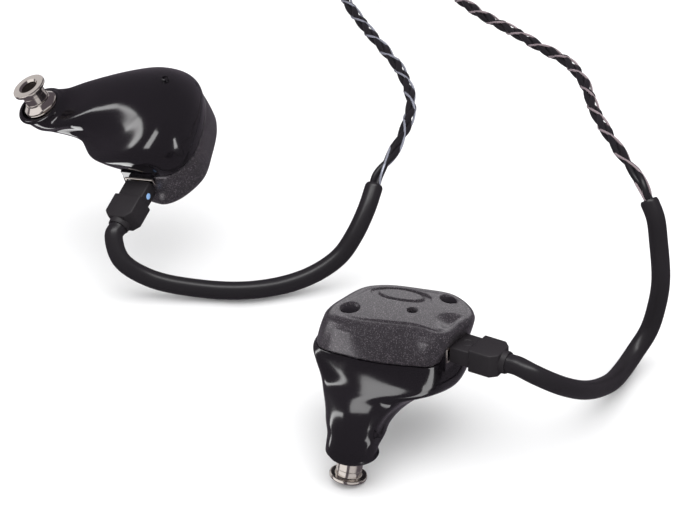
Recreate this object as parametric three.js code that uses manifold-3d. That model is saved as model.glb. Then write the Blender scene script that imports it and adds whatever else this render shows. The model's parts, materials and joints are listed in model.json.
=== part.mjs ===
// A pair of in-ear monitors with their detachable cable: two mirror-image earpieces, each with
// its drivers, crossover, nozzle and two-pin socket, formed ear hooks, a chin slider, a Y-split,
// a coiled main cable and a 3.5 mm plug. Millimetres, +Z up. The set lies on the plane z = 0.
import * as THREE from "three";
import { RoundedBoxGeometry } from "three/addons/geometries/RoundedBoxGeometry.js";
import { mergeVertices } from "three/addons/utils/BufferGeometryUtils.js";
import Module from "manifold-3d";

const wasm = await Module();
wasm.setup();

// ---- driving dimensions -------------------------------------------------------------------
const GAP = 0.3; // clearance between pieces that are glued or seated together
const OUTLINE_STEPS = 36; // points round the shell and the faceplate
const BAND_HEIGHT = 5.4; // faceplate top down to the seam with the shell
const TOP_ROUNDING = 1.0; // soft edge round the faceplate top
const PLATE_THICKNESS = 1.4;
const WALL = 1.1; // shell and faceplate side walls
const NECK_RADIUS = 3.75; // shell neck where the nozzle leaves it
const NECK_END = [2.75, -17.05, -13.2];
const NOZZLE_TIP = [2.35, -17.6, -17.7];
const FLANGE_RADIUS = 2.72; // nozzle lip that holds an ear tip
const BORE_RADIUS = 1.3;
const STEM_RADIUS = 1.9;
const CAP_RADIUS = 1.35; // glossy caps in the faceplate
const VENT_RADIUS = 0.62;
const SOCKET = { x0: 3.9, x1: 9.1, y: 1.3, z: -4.1, width: 5.8, height: 4.8 };
const PLUG = { length: 7.6, noseLength: 3.1, width: 5.1, noseHeight: 2.6, rearHeight: 3.6 };
const PLUG_AXIS = { y: 1.3, z: -3.8 };
const PIN_RADIUS = 0.39; // 0.78 mm two-pin contacts
const PIN_PITCH = 2.2;
const PIN_LENGTH = 5.2;
const HOOK_RADIUS = 1.42; // formed ear-hook tube
const CABLE_RADIUS = 0.95; // twisted cable of each side
const MAIN_RADIUS = 1.35; // cable below the Y-split
const COIL = { x: 14, y: 158, radius: 21, turns: 3 };
// Radius and height of the cable where it leaves the coil and comes down to the plug.
const DESCENT = [[22.6, 11.2], [24.6, 9.6], [25.6, 7.0], [26.0, 4.8], [26.0, 3.7], [26.0, 3.3]];
const SLIDER_Y = 112;
const SPLIT_Y = 127;
const SPLIT_MIDDLE = SPLIT_Y + 2;
const BRANCH_SPREAD = 1.6; // half distance between the two cables in the slider
const MID_X = 12; // line of the slider and the Y-split

// Where each earpiece sits: the middle of its faceplate top, the way its plug leaves and the
// way its faceplate looks. The left earpiece is the mirror image of the right one.
const RIGHT = { centre: [6.9, -48.3, 18.15], plugWay: [0.857, -0.515, 0], up: [0, 0, 1], mirror: 1 };
const LEFT = {
  centre: [-28.1, 6.6, 14.1],
  plugWay: [-0.409, -0.804, -0.432],
  up: [0.391, 0.273, -0.879],
  mirror: -1,
};

// ---- materials ----------------------------------------------------------------------------
const finish = (color, roughness, metalness) =>
  new THREE.MeshStandardMaterial({ color, roughness, metalness });
const BLACK_GLOSS = finish(0x0b090c, 0.08, 0);
const FLAKE = finish(0x3a373c, 0.3, 0.5);
const STEEL = finish(0xb9b2a8, 0.22, 1);
const GOLD = finish(0xd8b25a, 0.25, 1);
const PLASTIC = finish(0x2c282c, 0.6, 0);
const SLEEVE = finish(0x2a262a, 0.5, 0);
const DRIVER_CASE = finish(0x9a9a9c, 0.35, 1);
const BOARD_GREEN = finish(0x1d4a30, 0.5, 0);
const CLEAR_TUBE = finish(0xc9ccd0, 0.2, 0);
const MESH_GREY = finish(0x77787c, 0.4, 0.8);
const BLUE = finish(0x8fb8e8, 0.4, 0);
const RED = finish(0xd0404a, 0.4, 0);

// ---- geometry helpers ---------------------------------------------------------------------
const vec = (p) => new THREE.Vector3(...p);

function solidOf(geometry) {
  const bare = geometry.index ? geometry.toNonIndexed() : geometry.clone();
  bare.deleteAttribute("normal");
  bare.deleteAttribute("uv");
  const merged = mergeVertices(bare, 1e-4);
  const made = new wasm.Manifold(
    new wasm.Mesh({
      numProp: 3,
      vertProperties: new Float32Array(merged.attributes.position.array),
      triVerts: new Uint32Array(merged.index.array),
    }),
  );
  if (made.volume() <= 0) throw new Error("a solid has no volume or faces inwards");
  return made;
}

function geometryOf(solid) {
  const mesh = solid.getMesh();
  const geometry = new THREE.BufferGeometry();
  geometry.setAttribute("position", new THREE.BufferAttribute(mesh.vertProperties, 3));
  geometry.setIndex(new THREE.BufferAttribute(mesh.triVerts, 1));
  geometry.computeVertexNormals();
  return geometry;
}

const cut = (base, ...tools) =>
  geometryOf(tools.reduce((left, tool) => left.subtract(solidOf(tool)), solidOf(base)));

// A closed skin through rings of points, each ring as long as the next, capped by a fan.
function loftRings(rings) {
  const count = rings[0].length;
  const points = rings.flat();
  const middle = (ring) =>
    ring.reduce((sum, p) => sum.add(p), new THREE.Vector3()).divideScalar(ring.length);
  points.push(middle(rings[0]), middle(rings[rings.length - 1]));
  const index = [];
  for (let k = 0; k + 1 < rings.length; k++) {
    for (let i = 0; i < count; i++) {
      const a = k * count + i;
      const b = k * count + ((i + 1) % count);
      index.push(a, a + count, b, b, a + count, b + count);
    }
  }
  const last = (rings.length - 1) * count;
  for (let i = 0; i < count; i++) {
    const j = (i + 1) % count;
    index.push(points.length - 2, i, j);
    index.push(points.length - 1, last + j, last + i);
  }
  const geometry = new THREE.BufferGeometry().setFromPoints(points);
  geometry.setIndex(index);
  geometry.computeVertexNormals();
  return geometry;
}

// A round piece turned about +X from [along, radius] pairs.
function turned(profile, segments = 24) {
  const points = profile.map(([along, radius]) => new THREE.Vector2(radius, along));
  return new THREE.LatheGeometry(points, segments).rotateZ(-Math.PI / 2);
}

const rod = (start, end, radius, segments = 20) =>
  turned([[start, 0], [start, radius], [end, radius], [end, 0]], segments);

// A round tube along a smooth curve through the points.
function sweep(points, radius, steps, sides) {
  const shape = new THREE.Shape();
  shape.absarc(0, 0, radius, 0, 2 * Math.PI, false);
  const path = new THREE.CatmullRomCurve3(points.map(vec), false, "centripetal");
  return new THREE.ExtrudeGeometry(shape, {
    steps,
    curveSegments: sides / 2,
    bevelEnabled: false,
    extrudePath: path,
  });
}

function roundedBox(sizeX, sizeY, sizeZ, edge) {
  return new RoundedBoxGeometry(sizeX, sizeY, sizeZ, 1, edge);
}

// Turns a piece made along +X so that it lies along a direction and starts at a point.
function aim(mesh, start, way) {
  mesh.position.copy(vec(start));
  mesh.quaternion.setFromUnitVectors(new THREE.Vector3(1, 0, 0), vec(way).normalize());
  return mesh;
}

function aimed(geometry, start, way) {
  const mesh = aim(new THREE.Mesh(geometry), start, way);
  mesh.updateMatrix();
  return geometry.applyMatrix4(mesh.matrix);
}

// ---- faceplate and shell ------------------------------------------------------------------
// Outlines seen from above the faceplate, at the seam and at the top: a broad lobe at the back,
// a long flank on the neck side and a straight end where the socket sits.
const SEAM_OUTLINE = [
  [8.3, 1.2], [8.6, 4.6], [7.9, 7.4], [4.4, 9.3], [0.0, 8.8], [-5.0, 6.9], [-8.8, 4.2],
  [-10.9, 0.4], [-11.1, -3.6], [-9.0, -6.7], [-4.4, -6.9], [0.4, -6.1], [4.9, -4.5],
  [7.3, -3.3], [8.1, -1.4],
];
const TOP_OUTLINE = [
  [10.2, 1.2], [10.5, 4.4], [8.9, 7.0], [4.5, 9.2], [-0.5, 8.3], [-5.6, 6.5], [-8.1, 4.2],
  [-9.1, 0.2], [-9.3, -3.6], [-7.7, -6.1], [-4.3, -6.3], [0.4, -4.9], [4.9, -3.4],
  [8.6, -3.1], [10.0, -1.8],
];

// The outline at a share of the way up the band, moved inwards by a shrink.
function outline(share, shrink, z) {
  const points = SEAM_OUTLINE.map(([x, y], i) => new THREE.Vector3(
    THREE.MathUtils.lerp(x, TOP_OUTLINE[i][0], share),
    THREE.MathUtils.lerp(y, TOP_OUTLINE[i][1], share),
    0,
  ));
  const loop = new THREE.CatmullRomCurve3(points, true, "centripetal");
  const ring = loop.getPoints(OUTLINE_STEPS).slice(0, OUTLINE_STEPS);
  return ring.map((p, i) => {
    const next = ring[(i + 1) % ring.length];
    const before = ring[(i + ring.length - 1) % ring.length];
    const inward = new THREE.Vector3(before.y - next.y, next.x - before.x, 0).normalize();
    return p.clone().addScaledVector(inward, shrink).setZ(z);
  });
}

const bandRing = (height, shrink) =>
  outline(height / BAND_HEIGHT, shrink, height - BAND_HEIGHT);

function faceplateGeometry() {
  const rings = [bandRing(0, 0), bandRing(BAND_HEIGHT - TOP_ROUNDING, 0)];
  for (const turn of [30, 60, 90]) {
    const angle = THREE.MathUtils.degToRad(turn);
    const rise = TOP_ROUNDING * Math.sin(angle);
    const inset = TOP_ROUNDING * (1 - Math.cos(angle));
    rings.push(bandRing(BAND_HEIGHT - TOP_ROUNDING + rise, inset));
  }
  const pocketTop = BAND_HEIGHT - PLATE_THICKNESS;
  const pocket = loftRings([bandRing(-1, WALL), bandRing(pocketTop, WALL + 0.3)].reverse());
  const socketRoom = new THREE.BoxGeometry(
    SOCKET.x1 - SOCKET.x0 + 2,
    SOCKET.width + 2 * GAP,
    SOCKET.height + 2 * GAP,
  ).translate((SOCKET.x0 + SOCKET.x1 + 2) / 2, SOCKET.y, SOCKET.z);
  const capHole = ([x, y]) => new THREE.CylinderGeometry(CAP_RADIUS + GAP, CAP_RADIUS + GAP, 4, 24)
    .rotateX(Math.PI / 2).translate(x, y, 0);
  const ventHole = new THREE.CylinderGeometry(VENT_RADIUS + GAP, VENT_RADIUS + GAP, 4, 16)
    .rotateX(Math.PI / 2).translate(...VENT_AT, 0);
  return cut(loftRings(rings.reverse()), pocket, socketRoom, ...CAPS_AT.map(capHole), ventHole,
    emblemRing(EMBLEM.groove, EMBLEM.depth + GAP, 1));
}

const CAPS_AT = [[-6.3, -2.7], [4.9, 7.1]];
const VENT_AT = [2.0, 1.0];
const EMBLEM = {
  x: -1.6, y: 4.1, long: 4.3, short: 1.9, turn: 12, depth: 0.35, band: 0.55, groove: GAP,
};

// A flat oval ring lying just under the faceplate top: a plain ornament.
function emblemRing(grow, depth, above) {
  const oval = (long, short) => {
    const shape = new THREE.Shape();
    shape.absellipse(0, 0, long, short, 0, 2 * Math.PI, false, 0);
    return shape;
  };
  const ring = oval(EMBLEM.long + grow, EMBLEM.short + grow);
  ring.holes.push(oval(EMBLEM.long - EMBLEM.band - grow, EMBLEM.short - EMBLEM.band - grow));
  return new THREE.ExtrudeGeometry(ring, { depth: depth + above, bevelEnabled: false, curveSegments: 14 })
    .rotateZ(THREE.MathUtils.degToRad(EMBLEM.turn))
    .translate(EMBLEM.x, EMBLEM.y, -depth);
}

// Sections of the shell from the seam to the neck. Each is a chord in the y-z plane, from its
// lobe end to its neck-side end, with a half width across and a place of its middle in x. The
// shape goes from the seam outline (round = 0) to a circle (round = 1), and a roll lifts its
// socket side, by a share of the distance across.
const SECTIONS = [
  { lobe: [9.3, -5.4], neck: [-6.9, -5.4], half: 9.85, x: -1.25, round: 0, roll: 0 },
  { lobe: [9.4, -7.6], neck: [-8.0, -6.0], half: 10.4, x: -1.2, round: 0.15, roll: 0 },
  { lobe: [8.8, -10.4], neck: [-9.6, -6.7], half: 10.3, x: -0.6, round: 0.4, roll: 0 },
  { lobe: [7.0, -12.8], neck: [-11.5, -7.4], half: 9.2, x: -0.1, round: 0.65, roll: 0.05 },
  { lobe: [3.4, -14.0], neck: [-13.6, -8.0], half: 6.75, x: -0.65, round: 0.85, roll: 0.1 },
  { lobe: [-1.4, -14.2], neck: [-15.7, -8.8], half: 5.2, x: -0.2, round: 1, roll: 0.15 },
  { lobe: [-6.2, -13.8], neck: [-17.5, -9.8], half: 4.4, x: 0.7, round: 1, roll: 0.15 },
  { lobe: [-10.0, -13.2], neck: [-19.0, -10.9], half: 4.1, x: 1.9, round: 1, roll: 0.1 },
  { lobe: [-12.4, -13.0], neck: [-20.2, -12.2], half: 3.85, x: 2.4, round: 1, roll: 0.05 },
  { lobe: [-13.3, -13.3], neck: [-20.8, -13.3], half: NECK_RADIUS, x: 2.6, round: 1, roll: 0 },
];
const SECTION_STEPS = 16;

function shellSection(t) {
  const track = (pick) => new THREE.CatmullRomCurve3(
    SECTIONS.map((s) => new THREE.Vector3(...pick(s))), false, "catmullrom").getPoint(t);
  const lobe = track((s) => [0, ...s.lobe]);
  const neck = track((s) => [0, ...s.neck]);
  const widths = track((s) => [s.half, s.x, s.round]);
  const roll = track((s) => [s.roll, 0, 0]).x;
  return { lobe, neck, half: widths.x, x: widths.y, round: widths.z, roll };
}

function shellRing(t, shrink) {
  const s = shellSection(t);
  const middle = s.lobe.clone().add(s.neck).multiplyScalar(0.5);
  const chord = s.lobe.clone().sub(s.neck);
  const reach = chord.length() / 2 - shrink;
  const across = s.half - shrink;
  const way = chord.normalize();
  const first = SECTIONS[0];
  const seamMiddle = (first.lobe[0] + first.neck[0]) / 2;
  const seamReach = (first.lobe[0] - first.neck[0]) / 2;
  return outline(0, 0, 0).map((p) => {
    const u = (p.x - first.x) / first.half;
    const v = (p.y - seamMiddle) / seamReach;
    const size = Math.hypot(u, v);
    const a = THREE.MathUtils.lerp(u, u / size, s.round);
    const b = THREE.MathUtils.lerp(v, v / size, s.round);
    return new THREE.Vector3(s.x + across * a, 0, s.roll * across * a)
      .add(middle)
      .addScaledVector(way, reach * b);
  });
}

// Every second point of a ring: enough for a face that nobody sees.
const sparse = (ring) => ring.filter((_, i) => i % 2 === 0);

function shellGeometry() {
  const outer = [];
  for (let k = 0; k <= SECTION_STEPS; k++) outer.push(shellRing(k / SECTION_STEPS, 0.05));
  const inner = [sparse(shellRing(0, WALL)).map((p) => p.setZ(-BAND_HEIGHT + 1))];
  for (let k = 0; k <= SECTION_STEPS - 4; k += 2) {
    inner.push(sparse(shellRing(k / SECTION_STEPS, WALL)).map((p) => p.add(vec([0, 0, WALL * 0.3]))));
  }
  const skin = loftRings(outer);
  const socketRoom = new THREE.BoxGeometry(
    SOCKET.x1 - SOCKET.x0 + 2,
    SOCKET.width + 2 * GAP,
    SOCKET.height + 2 * GAP,
  ).translate((SOCKET.x0 + SOCKET.x1 + 2) / 2, SOCKET.y, SOCKET.z);
  const way = vec(NOZZLE_TIP).sub(vec(NECK_END)).normalize();
  const bore = aimed(rod(-9, 3, STEM_RADIUS + GAP), NECK_END, way.toArray());
  const seat = aimed(rod(-0.1, 3, 2.75 + GAP), NECK_END, way.toArray());
  const vent = aimed(rod(-3, 3, SHELL_VENT.radius + GAP, 14), SHELL_VENT.at, SHELL_VENT.way);
  const trimmed = cut(skin, loftRings(inner), socketRoom, bore, seat, vent);
  return trimmed.translate(0, 0, -0.12);
}

const SHELL_VENT = { at: [-4.2, 3.2, -12.6], radius: 0.5, way: [-0.35, 0.3, -0.9] };

// ---- one earpiece -------------------------------------------------------------------------
function nozzleGeometry() {
  const chamfer = 0.35;
  return turned([
    [chamfer, BORE_RADIUS], [0, BORE_RADIUS + chamfer], [0, FLANGE_RADIUS - 0.1],
    [0.1, FLANGE_RADIUS], [0.5, FLANGE_RADIUS], [0.6, FLANGE_RADIUS - 0.1], [0.6, 1.95], [0.8, 1.88],
    [2.8, 1.88], [2.85, 2.05], [3.05, 2.05], [3.7, 2.8], [3.9, 2.9], [4.02, 2.8], [4.02, 2.5],
    [4.18, 2.5], [4.18, 2.75], [4.3, 2.75], [4.3, STEM_RADIUS], [8.0, STEM_RADIUS],
    [8.0, BORE_RADIUS], [chamfer, BORE_RADIUS],
  ], 24);
}

function plugGeometry() {
  const nose = new THREE.BoxGeometry(PLUG.noseLength + 0.5, PLUG.width - 0.4, PLUG.noseHeight)
    .translate((PLUG.noseLength + 0.5) / 2, 0, 0);
  const rearLength = PLUG.length - PLUG.noseLength;
  const half = PLUG.width / 2;
  const corner = 0.9;
  const shape = new THREE.Shape([
    [0, -half], [rearLength - corner, -half], [rearLength, corner - half],
    [rearLength, half - corner], [rearLength - corner, half], [0, half],
  ].map(([x, y]) => new THREE.Vector2(x, y)));
  const rear = new THREE.ExtrudeGeometry(shape, {
    depth: PLUG.rearHeight - 0.5,
    bevelEnabled: true,
    bevelSize: 0.25,
    bevelOffset: -0.25,
    bevelThickness: 0.25,
    bevelSegments: 1,
  }).translate(PLUG.noseLength, 0, 0.25 - PLUG.rearHeight / 2);
  const collar = rod(PLUG.length - 0.5, PLUG.length + 0.7, 1.8, 20);
  const body = solidOf(nose).add(solidOf(rear)).add(solidOf(collar));
  const pinHoles = [-1, 1].map((side) => rod(-1, 2.4, PIN_RADIUS + 0.2, 12)
    .translate(0, side * PIN_PITCH / 2, 0));
  const dotRecess = dotGeometry(GAP);
  return cut(geometryOf(body), ...pinHoles, dotRecess);
}

// A coloured side mark let into the narrow face of the plug, on the lobe's side.
function dotGeometry(grow) {
  const face = PLUG.width / 2 - 0.2;
  return new THREE.CylinderGeometry(0.42 + grow, 0.42 + grow, 0.4 + grow, 16)
    .translate(1.9, face - 0.2 + (grow > 0 ? 0.05 : 0.02), 0);
}

function socketGeometry() {
  const block = new THREE.BoxGeometry(SOCKET.x1 - SOCKET.x0, SOCKET.width, SOCKET.height)
    .translate((SOCKET.x0 + SOCKET.x1) / 2, SOCKET.y, SOCKET.z);
  const holes = [-1, 1].map((side) => rod(SOCKET.x1 - 4.6, SOCKET.x1 + 1, 0.85, 14)
    .translate(0, PLUG_AXIS.y + (side * PIN_PITCH) / 2, PLUG_AXIS.z));
  return cut(block, ...holes);
}

// A sleeve with one open end, as the female contact in the socket.
function contactGeometry() {
  return turned([[0, 0], [0, 0.75], [4.0, 0.75], [4.0, 0.58], [0.4, 0.58], [0.4, 0]], 14);
}

// The driver side of one earpiece. Each entry is a node name, a geometry and a material; a third
// group places pieces that lie along the nozzle.
function earpieceParts(parent, side) {
  const add = (name, geometry, material, place = (m) => m) => {
    const mesh = new THREE.Mesh(geometry, material);
    mesh.name = `${side}_${name}`;
    parent.add(place(mesh));
    return mesh;
  };
  const nozzleWay = vec(NECK_END).sub(vec(NOZZLE_TIP)).normalize().toArray();
  const alongNozzle = (m) => aim(m, NOZZLE_TIP, nozzleWay);

  add("shell", shellGeometry(), BLACK_GLOSS);
  add("faceplate", faceplateGeometry(), FLAKE);
  add("emblem_ring", emblemRing(0, EMBLEM.depth, 0).translate(0, 0, -0.02), BLACK_GLOSS);
  CAPS_AT.forEach(([x, y], i) => {
    const dome = turned([[-1.6, 0], [-1.6, CAP_RADIUS], [-0.75, CAP_RADIUS], [-0.5, 1.15],
      [-0.32, 0.7], [-0.25, 0]], 24).rotateY(-Math.PI / 2);
    add(i === 0 ? "front_cap" : "rear_cap", dome.translate(x, y, 0), BLACK_GLOSS);
  });
  const vent = turned([[-1.5, 0], [-1.5, VENT_RADIUS], [-0.45, VENT_RADIUS], [-0.3, 0]], 16);
  add("faceplate_vent", vent.rotateY(-Math.PI / 2).translate(...VENT_AT, 0), MESH_GREY);
  add("shell_vent", rod(-0.9, -0.15, SHELL_VENT.radius, 14), MESH_GREY,
    (m) => aim(m, SHELL_VENT.at, SHELL_VENT.way));
  add("nozzle", nozzleGeometry(), STEEL, alongNozzle);
  add("acoustic_damper", rod(4.2, 6.4, BORE_RADIUS - GAP, 16), MESH_GREY, alongNozzle);

  add("socket", socketGeometry(), BLACK_GLOSS);
  ["front", "rear"].forEach((end, i) => {
    const y = PLUG_AXIS.y + (i === 0 ? -1 : 1) * (PIN_PITCH / 2);
    add(`socket_contact_${end}`, contactGeometry().translate(SOCKET.x1 - 4.5, y, PLUG_AXIS.z), GOLD);
  });

  add("crossover_board", roundedBox(7.6, 4.8, 0.8, 0.1).translate(-2.2, 2.4, -2.9), BOARD_GREEN);
  add("bass_driver", roundedBox(6.8, 3.4, 2.8, 0.4).translate(-0.9, 3.2, -6.1), DRIVER_CASE);
  add("mid_driver", roundedBox(6.6, 3.4, 2.7, 0.35).translate(-3.0, -1.4, -7.2), DRIVER_CASE);
  add("high_driver", roundedBox(4.4, 2.6, 1.9, 0.3).translate(2.9, -2.6, -7.5), DRIVER_CASE);
  add("bass_tube", sweep([[-1.4, 3.0, -8.4], [-1.0, 0.4, -10.2], [0.4, -5.0, -11.0],
    [1.6, -9.0, -11.4]], 0.6, 12, 8), CLEAR_TUBE);
  add("mid_high_tube", sweep([[2.4, -3.4, -9.3], [2.5, -5.4, -9.8], [2.7, -8.4, -10.2],
    [2.8, -10.5, -10.8]], 0.6, 12, 8), CLEAR_TUBE);
}

// The half of the connector that stays on the cable.
function plugParts(parent, side) {
  const add = (name, geometry, material) => {
    const mesh = new THREE.Mesh(geometry, material);
    mesh.name = `${side}_${name}`;
    parent.add(mesh);
  };
  const start = [SOCKET.x1 + GAP, PLUG_AXIS.y, PLUG_AXIS.z];
  add("plug_housing", plugGeometry().translate(...start), PLASTIC);
  add("side_mark", dotGeometry(0).translate(...start), side === "left" ? BLUE : RED);
  ["front", "rear"].forEach((end, i) => {
    const offset = (i === 0 ? -1 : 1) * (PIN_PITCH / 2);
    const pin = rod(-PIN_LENGTH + 1.8, 1.8, PIN_RADIUS, 12);
    add(`plug_pin_${end}`, pin.translate(start[0], start[1] + offset, start[2]), GOLD);
  });
}

function placement(seat) {
  const x = vec(seat.plugWay);
  const z = vec(seat.up).normalize();
  x.addScaledVector(z, -x.dot(z)).normalize();
  const y = new THREE.Vector3().crossVectors(z, x).multiplyScalar(seat.mirror);
  const group = new THREE.Group();
  group.matrixAutoUpdate = false;
  group.matrix.makeBasis(x, y, z).setPosition(vec(seat.centre));
  return group;
}

// ---- cable --------------------------------------------------------------------------------
// A point of the earpiece's own frame, in the frame of the whole set.
const outside = (group, p) => vec(p).applyMatrix4(group.matrix).toArray();
const HOOK_START = SOCKET.x1 + GAP + PLUG.length + 0.7 + 0.4;

function hookPoints(group, through) {
  const from = outside(group, [HOOK_START, PLUG_AXIS.y, PLUG_AXIS.z]);
  const ahead = outside(group, [HOOK_START + 1.2, PLUG_AXIS.y, PLUG_AXIS.z]);
  return [from, ahead, ...through];
}

const LEFT_HOOK = [
  [-35.3, -12.7, 6.2], [-30.8, -13.2, 3.1], [-23.0, -13.7, 1.55], [-15.5, -14.2, 1.55],
  [-9.0, -12.4, 1.8], [-4.6, -10.8, 3.0], [-1.3, -9.3, 5.0], [0.9, -7.7, 7.8],
  [2.7, -5.2, 10.8], [4.0, -2.1, 13.5],
];
const LEFT_RUN = [
  [4.14, -1.78, 13.78], [4.5, -0.92, 14.53], [6.5, 2.5, 16.0], [9.0, 10.5, 17.0], [10.0, 19.0, 17.0],
  [8.5, 32.0, 16.0], [6.0, 41.5, 15.0], [2.5, 54.0, 13.5], [-0.5, 67.0, 12.0], [0.0, 79.0, 8.5],
  [5.0, 91.0, 4.5], [MID_X - BRANCH_SPREAD, 102, 1.8], [MID_X - BRANCH_SPREAD, 106, 1.8],
  [MID_X - BRANCH_SPREAD, SPLIT_Y - 0.6, 1.8],
];
const RIGHT_HOOK = [
  [26.3, -58.4, 13.8], [29.0, -57.4, 11.8], [31.6, -54.6, 9.1], [34.2, -50.8, 6.3],
  [36.6, -46.6, 4.0], [39.0, -42.0, 2.3], [41.0, -37.5, 1.7], [43.0, -34.0, 2.6],
  [45.0, -32.0, 5.0], [46.0, -31.5, 8.5], [46.5, -31.5, 13.5], [46.0, -30.0, 19.5],
  [45.5, -29.0, 22.8], [44.5, -27.5, 25.0],
];
const RIGHT_RUN = [
  [44.34, -27.26, 25.35], [43.9, -26.6, 26.3], [43.0, -24.8, 27.4], [40.5, -17.0, 28.0],
  [38.0, -3.5, 27.0], [37.0, 9.5, 25.5], [35.0, 20.5, 23.5], [31.5, 30.5, 21.0],
  [27.0, 43.0, 18.0], [22.5, 55.0, 15.0], [19.5, 65.5, 12.5], [17.0, 78.0, 9.0],
  [14.8, 90.0, 5.0], [MID_X + BRANCH_SPREAD, 102, 1.8], [MID_X + BRANCH_SPREAD, 106, 1.8],
  [MID_X + BRANCH_SPREAD, SPLIT_Y - 0.6, 1.8],
];

function coilPoints() {
  const points = [[MID_X, SPLIT_Y + 8.6, 1.8], [MID_X + 0.5, SPLIT_Y + 12, 1.5]];
  const steps = COIL.turns * 12;
  const at = (angle, radius, z) =>
    points.push([COIL.x + radius * Math.cos(angle), COIL.y + radius * Math.sin(angle), z]);
  let angle = -0.5 * Math.PI + 0.35;
  for (let k = 0; k <= steps; k++) {
    const radius = COIL.radius - 1.2 * Math.sin((k / steps) * Math.PI);
    at(angle + (k / 12) * 2 * Math.PI, radius, MAIN_RADIUS + 0.1 + (k / 12) * (2 * MAIN_RADIUS + 0.5));
  }
  for (const [radius, z] of DESCENT) {
    angle += Math.PI / 12;
    at(angle, radius, z);
  }
  const [x, y, z] = points[points.length - 1];
  points.push([x - 4 * Math.sin(angle), y + 4 * Math.cos(angle), z]);
  return points;
}

const root = new THREE.Group();
const place = (name, geometry, material) => {
  const mesh = new THREE.Mesh(geometry, material);
  mesh.name = name;
  root.add(mesh);
  return mesh;
};

for (const [side, seat] of [["left", LEFT], ["right", RIGHT]]) {
  const group = placement(seat);
  earpieceParts(group, side);
  plugParts(group, side);
  root.add(group);
  const hook = hookPoints(group, side === "left" ? LEFT_HOOK : RIGHT_HOOK);
  const run = side === "left" ? LEFT_RUN : RIGHT_RUN;
  place(`${side}_ear_hook`, sweep(hook, HOOK_RADIUS, 44, 10), SLEEVE);
  place(`${side}_cable`, sweep(run, CABLE_RADIUS, 56, 8), SLEEVE);
}

const slider = roundedBox(8.4, 7.0, 4.4, 0.9);
const sliderHoles = [-1, 1].map((side) => rod(-6, 6, CABLE_RADIUS + GAP, 16)
  .rotateZ(Math.PI / 2).translate(side * BRANCH_SPREAD, 0, -0.4));
place("chin_slider", cut(slider, ...sliderHoles), PLASTIC).position.set(MID_X, SLIDER_Y, 2.2);

// The Y-split: a rounded block with the two branches going in and the main cable coming out.
const split = roundedBox(7.6, 8.4, 4.4, 1.0);
const splitBranches = [-1, 1].map((side) => rod(-6, -1.6, CABLE_RADIUS + GAP, 16)
  .rotateZ(Math.PI / 2).translate(side * BRANCH_SPREAD, 0, -0.4));
const splitMain = rod(1.6, 6, MAIN_RADIUS + GAP, 16).rotateZ(Math.PI / 2).translate(0, 0, -0.4);
place("y_split", cut(split, ...splitBranches, splitMain), PLASTIC)
  .position.set(MID_X, SPLIT_MIDDLE, 2.2);

const coil = coilPoints();
place("main_cable", sweep(coil, MAIN_RADIUS, 100, 8), SLEEVE);

// The 3.5 mm plug at the end of the main cable, lying beside the coil.
const jack = new THREE.Group();
const jackPiece = (name, geometry, material) => {
  const mesh = new THREE.Mesh(geometry, material);
  mesh.name = name;
  jack.add(mesh);
};
jackPiece("jack_strain_relief", turned([[0, 0], [0, 1.7], [1, 1.9], [6, 2.4], [6, 0]], 20), PLASTIC);
jackPiece("jack_barrel", turned([[6.3, 0], [6.3, 2.6], [6.8, 3.0], [17.4, 3.0], [17.8, 2.8],
  [17.8, 0]], 28), STEEL);
jackPiece("jack_sleeve", turned([[18.1, 0], [18.1, 1.75], [25.0, 1.75], [25.0, 0]], 20), GOLD);
jackPiece("jack_ring_insulator", rod(25.05, 25.75, 1.6, 20), PLASTIC);
jackPiece("jack_ring", rod(25.8, 28.2, 1.75, 20), GOLD);
jackPiece("jack_tip_insulator", rod(28.25, 28.95, 1.6, 20), PLASTIC);
jackPiece("jack_tip", turned([[29.0, 0], [29.0, 1.75], [29.6, 1.75], [30.6, 1.25], [31.4, 1.65],
  [32.6, 0.8], [32.9, 0]], 20), GOLD);
root.add(jack);
const coilEnd = vec(coil[coil.length - 1]);
const coilWay = coilEnd.clone().sub(vec(coil[coil.length - 2])).normalize();
aim(jack, coilEnd.clone().addScaledVector(coilWay, GAP).toArray(), coilWay.toArray());

// The origin of the set is under the middle of the Y-split, on the plane it lies on.
root.position.set(-MID_X, -SPLIT_MIDDLE, 0);

export default root;
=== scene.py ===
"""The looks of a pair of in-ear monitors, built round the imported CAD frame. Local shapes are in
millimetres in each earpiece's own frame: x the way its plug leaves, y towards the lobe, z out of
the faceplate. Everything is turned into metres in the row frame when a mesh is made."""

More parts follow.
